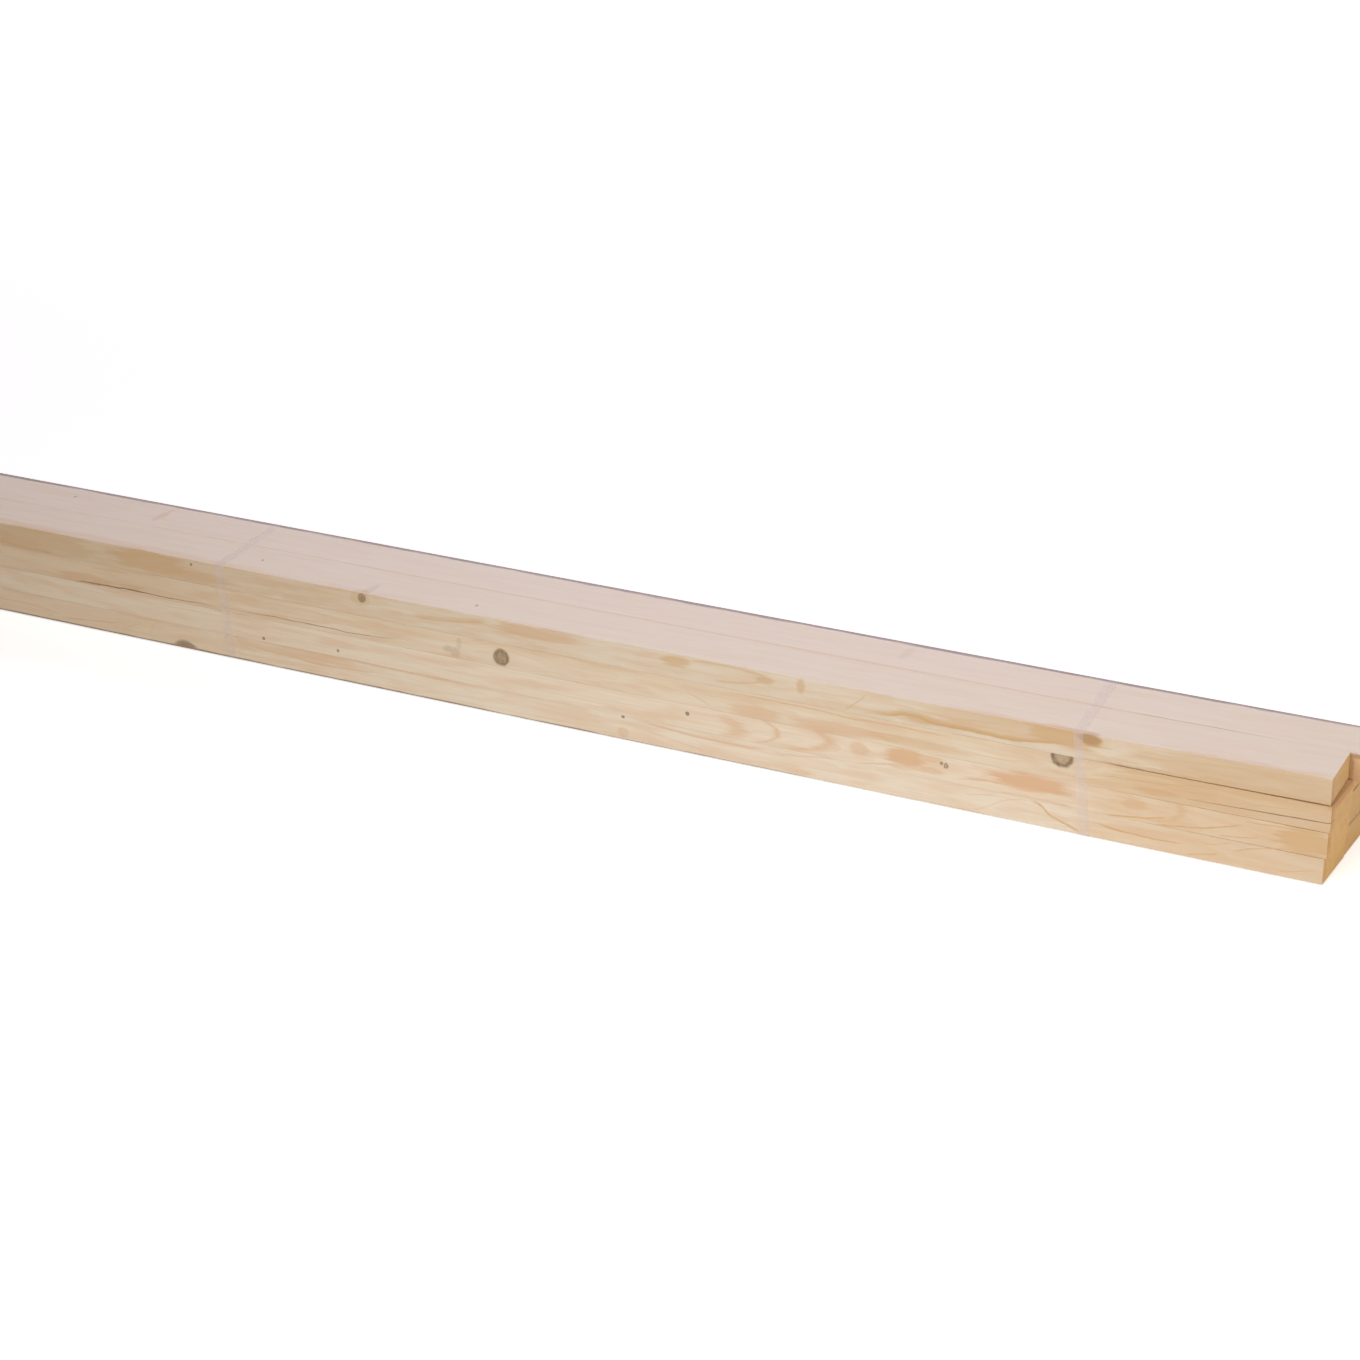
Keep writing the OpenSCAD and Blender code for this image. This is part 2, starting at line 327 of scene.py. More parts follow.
            Knot((420, 50, 7), BACK, 3.0, 0.02, 0.9, 0.5),
        ),
        stains=(Stain((60, 50, 8), (70, 12, 7), 0.5, RESIN_AND_SHADE),),
    ),
}


def srgb(code):
    """Splits a hex colour into its three sRGB parts."""
    return tuple(int(code[i:i + 2], 16) / 255 for i in (1, 3, 5))


def linear(colour, shade=(1.0, 1.0, 1.0)):
    """Turns an sRGB colour, hex or three parts, into the linear RGBA of a shader socket."""
    if isinstance(colour, str):
        colour = srgb(colour)
    parts = [c / 12.92 if c <= 0.04045 else ((c + 0.055) / 1.055) ** 2.4 for c in colour]
    return tuple(c * s for c, s in zip(parts, shade)) + (1.0,)


def cells(long, deep, high):
    """Gives the scale of a pattern whose cells have these sizes in mm."""
    return 1 / long, 1 / deep, 1 / high


def add(tree, kind, inputs=None, out=0, **settings):
    """Adds a node, sets it up, fills its inputs with values or links and returns one output.

    A shader node's kind is given without its prefix, and a math node's with its operation.
    """
    kind, _, operation = kind.partition(" ")
    if operation:
        settings["operation"] = operation
    prefix = "" if kind.startswith(("GeometryNode", "NodeGroup")) else "ShaderNode"
    node = tree.nodes.new(prefix + kind)
    for name, value in settings.items():
        setattr(node, name, value)
    for key, value in (inputs or {}).items():
        for one in value if isinstance(value, list) else [value]:
            if isinstance(one, bpy.types.NodeSocket):
                tree.links.new(one, node.inputs[key])
            else:
                node.inputs[key].default_value = one
    return node if out is None else node.outputs[out]


def new_group(name, kind, inputs, outputs):
    """Makes a node group with the sockets that are named for each kind, and returns it with its inputs."""
    tree = bpy.data.node_groups.new(name, kind)
    for side, sockets in (("INPUT", inputs), ("OUTPUT", outputs)):
        for socket, labels in sockets.items():
            for label in labels.split(", "):
                tree.interface.new_socket(label, in_out=side, socket_type="NodeSocket" + socket)
    return tree, add(tree, "NodeGroupInput", out=None).outputs


def put_down(tree, body, given, turn=(0.0, 0.0, 0.0)):
    """Ends a Geometry Nodes tree: turns the body, puts it in its place and gives it its material."""
    body = add(tree, "GeometryNodeTransform",
               {"Geometry": body, "Translation": given["Place"], "Rotation": turn})
    body = add(tree, "GeometryNodeRealizeInstances", {"Geometry": body})
    body = add(tree, "GeometryNodeSetMaterial", {"Geometry": body, "Material": given["Material"]})
    add(tree, "NodeGroupOutput", {"Geometry": body}, out=None)
    return tree


def plank_tree():
    """Geometry Nodes: an eased section swept along X, with a free end that springs up."""
    tree, given = new_group(
        "Sawn plank", "GeometryNodeTree",
        {"Float": "Length, Width, Thickness, Arris, Station, Spring start, Spring rise, Relief, Seed, Skew",
         "Vector": "Place", "Material": "Material"},
        {"Geometry": "Geometry"},
    )
    section = add(tree, "GeometryNodeCurvePrimitiveQuadrilateral",
                  {"Width": given["Width"], "Height": given["Thickness"]})
    section = add(tree, "GeometryNodeFilletCurve",
                  {"Curve": section, "Count": 3, "Radius": given["Arris"]}, mode="POLY")
    end = add(tree, "CombineXYZ", {"X": given["Length"]})
    way = add(tree, "GeometryNodeCurvePrimitiveLine", {"End": end})
    way = add(tree, "GeometryNodeResampleCurve", {"Curve": way, "Length": given["Station"]}, mode="LENGTH")
    way = add(tree, "GeometryNodeSetCurveNormal", {"Curve": way}, mode="Z_UP")
    body = add(tree, "GeometryNodeCurveToMesh", {"Curve": way, "Profile Curve": section, "Fill Caps": True})

    # The free end past the last strap rises, slowly at first
    spot = add(tree, "GeometryNodeInputPosition")
    parts = add(tree, "SeparateXYZ", {0: spot}, out=None).outputs
    share = add(tree, "MapRange",
                {"Value": parts["X"], "From Min": given["Spring start"], "From Max": given["Length"]})
    curved = add(tree, "Math POWER", {0: share, 1: BEND})
    rise = add(tree, "Math MULTIPLY", {0: curved, 1: given["Spring rise"]})
    # Its front edge is longer where the end was cut out of square
    front = add(tree, "Math DIVIDE", {0: parts["Y"], 1: given["Width"]})
    front = add(tree, "Math SUBTRACT", {0: 0.5, 1: front})
    front = add(tree, "Math MULTIPLY", {0: front, 1: share})
    longer = add(tree, "Math MULTIPLY", {0: front, 1: given["Skew"]})
    lift = add(tree, "CombineXYZ", {"X": longer, "Z": rise})

    # A saw never runs quite straight, so the faces wave a little
    stretched = add(tree, "VectorMath MULTIPLY", {0: spot, 1: SAW_WAVES})
    wave = add(tree, "TexNoise",
               {"Vector": stretched, "W": given["Seed"], "Scale": 1.0, "Detail": 1.0}, noise_dimensions="4D")
    wave = add(tree, "Math SUBTRACT", {0: wave, 1: 0.5})
    wave = add(tree, "Math MULTIPLY", {0: wave, 1: given["Relief"]})
    facing = add(tree, "GeometryNodeInputNormal")
    wave = add(tree, "VectorMath SCALE", {0: facing, "Scale": wave})
    shift = add(tree, "VectorMath ADD", {0: lift, 1: wave})
    body = add(tree, "GeometryNodeSetPosition", {"Geometry": body, "Offset": shift})
    return put_down(tree, body, given)


def strap_tree():
    """Geometry Nodes: a flat band swept round an eased loop, with a welded tail on the back."""
    tree, given = new_group(
        "Pulled strap", "GeometryNodeTree",
        {"Float": "Width, Height, Corner, Band width, Band thickness, Weld, Slant",
         "Vector": "Place", "Material": "Material"},
        {"Geometry": "Geometry"},
    )
    square = add(tree, "Math COSINE", {0: given["Slant"]})
    breadth = add(tree, "Math DIVIDE", {0: given["Band width"], 1: square})
    band = add(tree, "GeometryNodeCurvePrimitiveQuadrilateral",
               {"Width": given["Band thickness"], "Height": breadth})
    edge = add(tree, "Math MULTIPLY", {0: given["Band thickness"], 1: 0.3})
    band = add(tree, "GeometryNodeFilletCurve", {"Curve": band, "Count": 2, "Radius": edge}, mode="POLY")
    loop = add(tree, "GeometryNodeCurvePrimitiveQuadrilateral",
               {"Width": given["Width"], "Height": given["Height"]})
    loop = add(tree, "GeometryNodeFilletCurve",
               {"Curve": loop, "Count": 6, "Radius": given["Corner"]}, mode="POLY")
    loop = add(tree, "GeometryNodeSetCurveNormal", {"Curve": loop}, mode="Z_UP")
    loop = add(tree, "GeometryNodeCurveToMesh", {"Curve": loop, "Profile Curve": band})
    half = add(tree, "Math MULTIPLY", {0: given["Width"], 1: 0.5})
    outside = add(tree, "Math ADD", {0: half, 1: given["Band thickness"]})
    reach = add(tree, "Math MULTIPLY", {0: given["Weld"], 1: 0.5})
    below = add(tree, "Math MULTIPLY", {0: given["Weld"], 1: -0.5})
    low = add(tree, "CombineXYZ", {"X": outside, "Y": below})
    high = add(tree, "CombineXYZ", {"X": outside, "Y": reach})
    tail = add(tree, "GeometryNodeCurvePrimitiveLine", {"Start": low, "End": high})
    tail = add(tree, "GeometryNodeSetCurveNormal", {"Curve": tail}, mode="Z_UP")
    tail = add(tree, "GeometryNodeCurveToMesh", {"Curve": tail, "Profile Curve": band, "Fill Caps": True})
    body = add(tree, "GeometryNodeJoinGeometry", {"Geometry": [loop, tail]})
    # The strap leans out of square, up the front and over the top, from its place on the floor
    spot = add(tree, "GeometryNodeInputPosition")
    parts = add(tree, "SeparateXYZ", {0: spot}, out=None).outputs
    tall = add(tree, "Math ADD", {0: given["Height"], 1: given["Band thickness"]})
    above = add(tree, "Math MULTIPLY_ADD", {0: tall, 1: 0.5, 2: parts["Y"]})
    way = add(tree, "Math ADD", {0: above, 1: parts["X"]})
    slope = add(tree, "Math TANGENT", {0: given["Slant"]})
    slide = add(tree, "Math MULTIPLY", {0: way, 1: slope})
    slide = add(tree, "Math MULTIPLY", {0: slide, 1: -1.0})
    slide = add(tree, "CombineXYZ", {"Z": slide})
    body = add(tree, "GeometryNodeSetPosition", {"Geometry": body, "Offset": slide})
    return put_down(tree, body, given, turn=(math.pi / 2, 0.0, math.pi / 2))


def grow(name, tree, values):
    """Runs a Geometry Nodes tree with its named values, and returns the result as a plain mesh."""
    piece = bpy.data.objects.new(name, bpy.data.meshes.new(name))
    bpy.context.scene.collection.objects.link(piece)
    modifier = piece.modifiers.new("Shape", "NODES")
    modifier.node_group = tree
    for item in tree.interface.items_tree:
        if item.in_out == "INPUT":
            modifier[item.identifier] = values[item.name]
    settle(piece)
    return piece


def settle(piece):
    """Turns the modifiers of a piece into its own mesh, shaded smooth but for the arrises."""
    depsgraph = bpy.context.evaluated_depsgraph_get()
    mesh = bpy.data.meshes.new_from_object(piece.evaluated_get(depsgraph))
    mesh.name = piece.name
    piece.modifiers.clear()
    piece.data = mesh
    mesh.shade_smooth()
    mesh.set_sharp_from_angle(angle=SMOOTH_TURN)


def cut_check(piece, check, face, floor, spring):
    """Cuts a drying check into the front face: a thin wedge that wavers along the grain."""
    points = []
    faces = []
    steps = 12  # on each leg of the way
    way = [Vector((x, z)) for x, z in check.way]
    count = (len(way) - 1) * steps
    for i in range(count + 1):
        leg = min(i // steps, len(way) - 2)
        spot = way[leg].lerp(way[leg + 1], i / steps - leg)
        share = i / count
        open_share = math.sqrt(share) if check.runs_out else math.sin(math.pi * (0.02 + 0.96 * share)) ** 0.6
        # The mouth and the way waver by tenths of a millimetre
        half = check.mouth / 2 * max(open_share, 0.04) * (0.8 + 0.4 * noise.noise((spot.x / 9, 3.7, 0)))
        depth = check.depth * max(open_share, 0.1)
        waver = 0.35 * noise.noise((spot.x / 14, 0, 0)) + 0.15 * noise.noise((spot.x / 4, 9, 0))
        x = spot.x * MM
        z = floor + (spot.y + waver) * MM + spring(x)
        points += [(x, face - MM, z + half * MM), (x, face - MM, z - half * MM), (x, face + depth * MM, z)]
        if i:
            k = 3 * i
            for a, b in ((0, 1), (1, 2), (2, 0)):
                faces.append((k - 3 + b, k + b, k + a, k - 3 + a))
    faces += [(2, 1, 0), (len(points) - 3, len(points) - 2, len(points) - 1)]
    mesh = bpy.data.meshes.new("check")
    mesh.from_pydata(points, [], faces)
    mesh.validate()
    cutter = bpy.data.objects.new("check", mesh)
    bpy.context.scene.collection.objects.link(cutter)
    modifier = piece.modifiers.new("Check", "BOOLEAN")
    modifier.object = cutter
    modifier.operation = "DIFFERENCE"
    modifier.solver = "EXACT"
    settle(piece)
    bpy.data.objects.remove(cutter)


def knot_group():
    """Shader group: a branch in the wood. The grain flows round it and it is dark inside its rim."""
    tree, given = new_group(
        "Branch knot", "ShaderNodeTree",
        {"Vector": "Position, Centre, Axis", "Float": "Radius, Taper"},
        {"Vector": "Position", "Float": "Core, Rim"},
    )
    apart = add(tree, "VectorMath SUBTRACT", {0: given["Position"], 1: given["Centre"]})
    depth = add(tree, "VectorMath DOT_PRODUCT", {0: apart, 1: given["Axis"]}, out="Value")
    axial = add(tree, "VectorMath SCALE", {0: given["Axis"], "Scale": depth})
    across = add(tree, "VectorMath SUBTRACT", {0: apart, 1: axial})
    taper = add(tree, "Math MULTIPLY_ADD", {0: depth, 1: given["Taper"], 2: 1.0})
    taper = add(tree, "Math MAXIMUM", {0: taper, 1: 0.02})
    size = add(tree, "Math MULTIPLY", {0: given["Radius"], 1: taper})
    # The outline isn't a true circle, and the wood inside is mottled: cells of about 4.5 and 2.2 mm
    rough = add(tree, "TexNoise", {"Vector": given["Position"], "Scale": 0.22, "Detail": 0.0})
    rough = add(tree, "Math MULTIPLY_ADD", {0: rough, 1: 0.16, 2: 0.92})
    reach = add(tree, "VectorMath LENGTH", {0: across}, out="Value")
    share = add(tree, "Math DIVIDE", {0: reach, 1: size})
    share = add(tree, "Math MULTIPLY", {0: share, 1: rough})
    core, rise, fall = [
        add(tree, "MapRange", {"Value": share, "From Min": none, "From Max": full},
            interpolation_type="SMOOTHSTEP")
        for none, full in ((1.15, 0.8), (0.45, 0.92), (1.25, 0.95))
    ]
    mottle = add(tree, "TexNoise", {"Vector": given["Position"], "Scale": 0.45, "Detail": 2.0})
    mottle = add(tree, "MapRange", {"Value": mottle, "From Min": 0.35, "From Max": 0.62, "To Min": 0.7})
    core = add(tree, "Math MULTIPLY", {0: core, 1: mottle})
    rim = add(tree, "Math MULTIPLY", {0: rise, 1: fall})
    broken = add(tree, "MapRange", {"Value": mottle, "From Min": 0.7, "From Max": 1.0, "To Min": 0.6})
    rim = add(tree, "Math MULTIPLY", {0: rim, 1: broken})
    # The grain swells past the knot, farther along the plank than across it
    swell = add(tree, "VectorMath MULTIPLY", {0: across, 1: (0.4, 1.0, 1.0)})
    swell = add(tree, "VectorMath LENGTH", {0: swell}, out="Value")
    swell = add(tree, "Math DIVIDE", {0: swell, 1: size})
    swell = add(tree, "Math POWER", {0: swell, 1: 2.0})
    swell = add(tree, "Math MULTIPLY", {0: swell, 1: -0.35})
    swell = add(tree, "Math EXPONENT", {0: swell})
    pull = add(tree, "Math MULTIPLY", {0: swell, 1: -0.8})
    pulled = add(tree, "VectorMath MULTIPLY", {0: across, 1: (0.1, 1.0, 1.0)})
    pulled = add(tree, "VectorMath SCALE", {0: pulled, "Scale": pull})
    moved = add(tree, "VectorMath ADD", {0: given["Position"], 1: pulled})
    add(tree, "NodeGroupOutput", {"Position": moved, "Core": core, "Rim": rim}, out=None)
    return tree


def ring_group():
    """Shader group: growth rings round a pith that wanders along the plank, as latewood from 0 to 1."""
    tree, given = new_group(
        "Growth rings", "ShaderNodeTree",
        {"Vector": "Position, Pith", "Float": "Wander, Ring, Seed"},
        {"Float": "Late"},
    )
    along = add(tree, "SeparateXYZ", {0: given["Position"]})
    way = add(tree, "Math MULTIPLY_ADD", {0: along, 1: 1 / 240, 2: given["Seed"]})
    wander = add(tree, "TexNoise", {"W": way, "Scale": 1.0, "Detail": 1.5}, out="Color",
                 noise_dimensions="1D")
    wander = add(tree, "VectorMath SUBTRACT", {0: wander, 1: (0.5, 0.5, 0.5)})
    wander = add(tree, "VectorMath SCALE", {0: wander, "Scale": given["Wander"]})
    apart = add(tree, "VectorMath SUBTRACT", {0: given["Position"], 1: given["Pith"]})
    apart = add(tree, "VectorMath SUBTRACT", {0: apart, 1: wander})
    apart = add(tree, "VectorMath MULTIPLY", {0: apart, 1: (0.0, 1.0, 1.0)})
    radius = add(tree, "VectorMath LENGTH", {0: apart}, out="Value")
    # Each ring wavers a little on its own
    stretched = add(tree, "VectorMath MULTIPLY", {0: given["Position"], 1: cells(60, 12, 12)})
    waver = add(tree, "TexNoise",
                {"Vector": stretched, "W": given["Seed"], "Scale": 1.0, "Detail": 2.0}, noise_dimensions="4D")
    radius = add(tree, "Math MULTIPLY_ADD", {0: waver, 1: 1.8, 2: radius})
    ragged = add(tree, "VectorMath MULTIPLY", {0: given["Position"], 1: cells(11, 3, 3)})
    ragged = add(tree, "TexNoise", {"Vector": ragged, "Scale": 1.0, "Detail": 2.0})
    radius = add(tree, "Math MULTIPLY_ADD", {0: ragged, 1: 0.7, 2: radius})
    phase = add(tree, "Math DIVIDE", {0: radius, 1: given["Ring"]})
    part = add(tree, "Math FRACT", {0: phase})
    year = add(tree, "Math FLOOR", {0: phase})
    year = add(tree, "Math ADD", {0: year, 1: given["Seed"]})
    thrift = add(tree, "TexWhiteNoise", {"W": year}, noise_dimensions="1D")
    thrift = add(tree, "MapRange", {"Value": thrift, "To Min": 0.45, "To Max": 1.0})
    late = thrift
    for none, full in ((0.42, 0.9), (1.0, 0.93)):
        edge = add(tree, "MapRange", {"Value": part, "From Min": none, "From Max": full},
                   interpolation_type="SMOOTHSTEP")
        late = add(tree, "Math MULTIPLY", {0: late, 1: edge})
    add(tree, "NodeGroupOutput", {"Late": late}, out=None)
    return tree


def stain_group():
    """Shader group: a soft patch in the wood, or the crescent left of it past its own shifted shape."""
    tree, given = new_group(
        "Grain stain", "ShaderNodeTree",
        {"Vector": "Position, Centre, Reach", "Float": "Tip"},
        {"Float": "Mask"},
    )
    stretched = add(tree, "VectorMath MULTIPLY", {0: given["Position"], 1: cells(30, 3, 3)})
    ragged = add(tree, "TexNoise", {"Vector": stretched, "Scale": 1.0, "Detail": 3.0})
    # The edge of a crescent is as soft as it is wide, and that of a patch is softer
    along = add(tree, "SeparateXYZ", {0: given["Reach"]})
    soft = add(tree, "Math DIVIDE", {0: given["Tip"], 1: along})
    soft = add(tree, "Math MINIMUM", {0: soft, 1: 0.6})
    none = add(tree, "Math MULTIPLY_ADD", {0: soft, 1: 1.5, 2: 0.9})
    full = add(tree, "Math MULTIPLY_ADD", {0: soft, 1: 0.5, 2: 0.9})
    ragged = add(tree, "Math MULTIPLY", {0: ragged, 1: soft})
    apart = add(tree, "VectorMath SUBTRACT", {0: given["Position"], 1: given["Centre"]})
    aside = add(tree, "CombineXYZ", {"X": given["Tip"]})
    shifted = add(tree, "VectorMath ADD", {0: apart, 1: aside})
    masks = []
    for way in (apart, shifted):
        share = add(tree, "VectorMath DIVIDE", {0: way, 1: given["Reach"]})
        share = add(tree, "VectorMath LENGTH", {0: share}, out="Value")
        share = add(tree, "Math MULTIPLY_ADD", {0: ragged, 1: 2.0, 2: share})
        masks.append(add(tree, "MapRange", {"Value": share, "From Min": none, "From Max": full},
                         interpolation_type="SMOOTHSTEP"))
    mask = add(tree, "Math SUBTRACT", {0: masks[0], 1: masks[1]}, use_clamp=True)
    add(tree, "NodeGroupOutput", {"Mask": mask}, out=None)
    return tree


def streak_group():
    """Shader group: one dark line of the grain or of painted shade, crisp on one side and fading out on the
    other.
    """
    tree, given = new_group(
        "Grain streak", "ShaderNodeTree",
        {"Vector": "Position", "Float": "Height, Start, End, Side, Fade"},
        {"Float": "Mask"},
    )
    parts = add(tree, "SeparateXYZ", {0: given["Position"]}, out=None).outputs
    ragged = add(tree, "VectorMath MULTIPLY", {0: given["Position"], 1: cells(9, 3, 3)})
    ragged = add(tree, "TexNoise", {"Vector": ragged, "Scale": 1.0, "Detail": 2.0})
    above = add(tree, "Math SUBTRACT", {0: parts["Z"], 1: given["Height"]})
    above = add(tree, "Math MULTIPLY_ADD", {0: ragged, 1: 1.6, 2: above})
    above = add(tree, "Math SUBTRACT", {0: above, 1: 0.8})
    above = add(tree, "Math MULTIPLY", {0: above, 1: given["Side"]})
    share = add(tree, "MapRange", {"Value": parts["X"], "From Min": given["Start"], "From Max": given["End"]})
    mask = add(tree, "MapRange", {"Value": parts["Y"], "From Min": 9.0, "From Max": 4.0})
    for value, none, full in ((above, -0.6, 0.3), (above, given["Fade"], 0.0),
                              (share, 0.0, 0.2), (share, 1.0, 0.8)):
        part = add(tree, "MapRange", {"Value": value, "From Min": none, "From Max": full},
                   interpolation_type="SMOOTHSTEP")
        mask = add(tree, "Math MULTIPLY", {0: mask, 1: part})
    add(tree, "NodeGroupOutput", {"Mask": mask}, out=None)
    return tree


def follow(tree, along, way, low, high):
    """Adds a curve through a way of (x, level) in mm, and returns its level at the place along."""
    first, last = way[0][0], way[-1][0]
    share = add(tree, "MapRange", {"Value": along, "From Min": first, "From Max": last})
    node = add(tree, "FloatCurve", {"Value": share}, out=None)
    points = node.mapping.curves[0].points
    spots = [((x - first) / (last - first), (level - low) / (high - low)) for x, level in way]
    points[0].location = spots[0]
    points[1].location = spots[-1]
    for spot in spots[1:-1]:
        points.new(*spot)
    node.mapping.update()
    return add(tree, "MapRange", {"Value": node.outputs[0], "To Min": low, "To Max": high})


def strongest(tree, masks):
    """Adds up masks so that the strongest one counts at each place."""
    whole = masks[0]
    for mask in masks[1:]:
        whole = add(tree, "Math MAXIMUM", {0: whole, 1: mask})
    return whole


def grow_knots(tree, plank, groups, position):
    """Adds the knots, and returns the place in the grain that flows round them, their cores and rims."""
    cores = []
    rims = []
    for knot in plank.knots:
        node = add(tree, "Group",
                   {"Position": position, "Centre": knot.place, "Axis": Vector(knot.axis).normalized(),
                    "Radius": knot.radius, "Taper": knot.taper},
                   out=None, node_tree=groups["knot"])
        position = node.outputs["Position"]
        cores.append(add(tree, "Math MULTIPLY", {0: node.outputs["Core"], 1: knot.core}))
        rims.append(add(tree, "Math MULTIPLY", {0: node.outputs["Rim"], 1: knot.rim}))
    return position, strongest(tree, cores), strongest(tree, rims)


def draw_marks(tree, plank, groups, position, along):
    """Adds the stains and streaks, and returns one mask for each tint that the plank has."""
    marks = []
    for stain in plank.stains:
        mask = add(tree, "Group",
                   {"Position": position, "Centre": stain.place, "Reach": stain.reach, "Tip": stain.tip},
                   node_tree=groups["stain"])
        marks.append((stain, mask))
    for streak in plank.streaks:
        level = follow(tree, along, streak.way, *STREAK_LEVELS)
        mask = add(tree, "Group",
                   {"Position": position, "Height": level,
                    "Start": streak.way[0][0], "End": streak.way[-1][0],
                    "Side": math.copysign(1.0, streak.fade), "Fade": abs(streak.fade)},
                   node_tree=groups["streak"])
        marks.append((streak, mask))
    tinted = {}
    for mark, mask in marks:
        mask = add(tree, "Math MULTIPLY", {0: mask, 1: mark.strength})
        tinted.setdefault(mark.tint, []).append(mask)
    return {tint: strongest(tree, masks) for tint, masks in tinted.items()}


def ring_figure(tree, plank, groups, position, along, seed):
    """Adds the growth rings with their paler clouds and darker blotches, as latewood from 0 to 1."""
    back = follow(tree, along, [(x, y) for x, y, z in plank.pith], *PITH_LEVELS)
    height = follow(tree, along, [(x, z) for x, y, z in plank.pith], *PITH_LEVELS)
    pith = add(tree, "CombineXYZ", {"Y": back, "Z": height})
    late = add(tree, "Group",
               {"Position": position, "Pith": pith, "Wander": plank.wander, "Ring": plank.ring, "Seed": seed},
               node_tree=groups["rings"])
    # Slow clouds make some stretches of the plank paler and plainer than others
    slow = add(tree, "VectorMath MULTIPLY", {0: position, 1: cells(130, 22, 22)})
    cloud = add(tree, "TexNoise", {"Vector": slow, "W": seed, "Scale": 1.0, "Detail": 2.0},
                noise_dimensions="4D")
    depth = add(tree, "MapRange",
                {"Value": cloud, "From Min": 0.3, "From Max": 0.7,
                 "To Min": 0.45 * plank.figure, "To Max": plank.figure})
    late = add(tree, "Math MULTIPLY", {0: late, 1: depth})
    patchy = add(tree, "VectorMath MULTIPLY", {0: position, 1: cells(60, 8, 8)})
    blotch = add(tree, "TexNoise", {"Vector": patchy, "W": seed, "Scale": 1.0, "Detail": 3.0},
                 noise_dimensions="4D")
    blotch = add(tree, "MapRange", {"Value": blotch, "From Min": 0.42, "From Max": 0.66, "To Max": 0.42},
                 interpolation_type="SMOOTHSTEP")
    return add(tree, "Math MAXIMUM", {0: late, 1: blotch})


def new_material(name):
    """Makes a material without nodes, and returns it with its tree."""
    material = bpy.data.materials.new(name)
    material.use_nodes = True
    material.node_tree.nodes.clear()
    return material, material.node_tree


def sawn_spruce(name, plank, corner, seed, groups, look):
    """Pale, dry sawn spruce: growth rings, knots, resin patches, fine fibres, darker end grain, and painted
    shade in some gaps and along some edges.
    """
    material, tree = new_material(f"Sawn spruce {name}")
    place = add(tree, "TexCoord", out="Object")
    place = add(tree, "VectorMath SUBTRACT", {0: place, 1: corner})
    place = add(tree, "VectorMath SCALE", {0: place, "Scale": 1 / MM})
    position, core, rim = grow_knots(tree, plank, groups, place)
    along = add(tree, "SeparateXYZ", {0: position})
    tinted = draw_marks(tree, plank, groups, position, along)
    late = ring_figure(tree, plank, groups, position, along, seed)

    # The broad faces are sawn along the rings, so they look plainer than the edges
    facing = add(tree, "TexCoord", out="Normal")
    facing = add(tree, "VectorMath ABSOLUTE", {0: facing})
    facing = add(tree, "SeparateXYZ", {0: facing}, out=None).outputs
    plain = add(tree, "MapRange",
                {"Value": facing["Z"], "From Min": 0.6, "From Max": 0.9, "To Min": 1.0, "To Max": 0.35})
    late = add(tree, "Math MULTIPLY", {0: late, 1: plain})
    colour = add(tree, "Mix",
                 {0: late, 6: linear(look.earlywood, plank.shade), 7: linear(look.latewood, plank.shade)},
                 out=2, data_type="RGBA")
    # Fibres a few tenths of a millimetre across
    thin = add(tree, "VectorMath MULTIPLY", {0: position, 1: cells(45, 0.7, 0.7)})
    fibre = add(tree, "TexNoise", {"Vector": thin, "Scale": 1.0, "Detail": 3.0, "Roughness": 0.6})
    tone = add(tree, "MapRange",
               {"Value": fibre, "From Min": 0.3, "From Max": 0.7, "To Min": 0.955, "To Max": 1.035})
    colour = add(tree, "VectorMath SCALE", {0: colour, "Scale": tone})
    # The resin and bark tints also carry painted shade, and the edge tint is painted shade alone.
    tints = {SUMMER: look.latewood, RESIN_AND_SHADE: look.stain, EDGE_SHADE: look.painted_edge_shade, BARK_AND_SHADE: look.rim}
    coats = [(tinted[kind], linear(tint, plank.shade)) for kind, tint in tints.items() if kind in tinted]
    coats += [(core, linear(look.knot)), (rim, linear(look.rim))]
    for mask, tint in coats:
        colour = add(tree, "Mix", {0: mask, 6: colour, 7: tint}, out=2, data_type="RGBA")
    # Sawn ends drink the light: the open fibres look darker and warmer
    ended = add(tree, "MapRange", {"Value": facing["X"], "From Min": 0.6, "From Max": 0.9})
    colour = add(tree, "Mix", {0: ended, 6: colour, 7: linear(look.end_grain)},
                 out=2, data_type="RGBA", blend_type="MULTIPLY")

    height = add(tree, "Math MULTIPLY_ADD", {0: late, 1: 0.2, 2: fibre})
    bump = add(tree, "Bump", {"Strength": 0.35, "Distance": 0.15 * MM, "Height": height})
    surface = add(tree, "BsdfPrincipled",
                  {"Base Color": colour, "Roughness": 0.55, "Sheen Weight": 0.35, "Sheen Roughness": 0.4,
                   "Sheen Tint": linear("#fff4fb"), "Normal": bump})
    add(tree, "OutputMaterial", {"Surface": surface}, out=None)
    return material


def clear_strap(look):
    """Thin clear polypropylene strap, drawn smooth: milky and faintly lilac over the wood."""
    material, tree = new_material("Clear polypropylene strap")
    surface = add(tree, "BsdfPrincipled",
                  {"Base Color": linear(look.colour), "Roughness": 0.5, "Specular IOR Level": 0.4,
                   "Alpha": look.opacity})
    add(tree, "OutputMaterial", {"Surface": surface}, out=None)
    return material


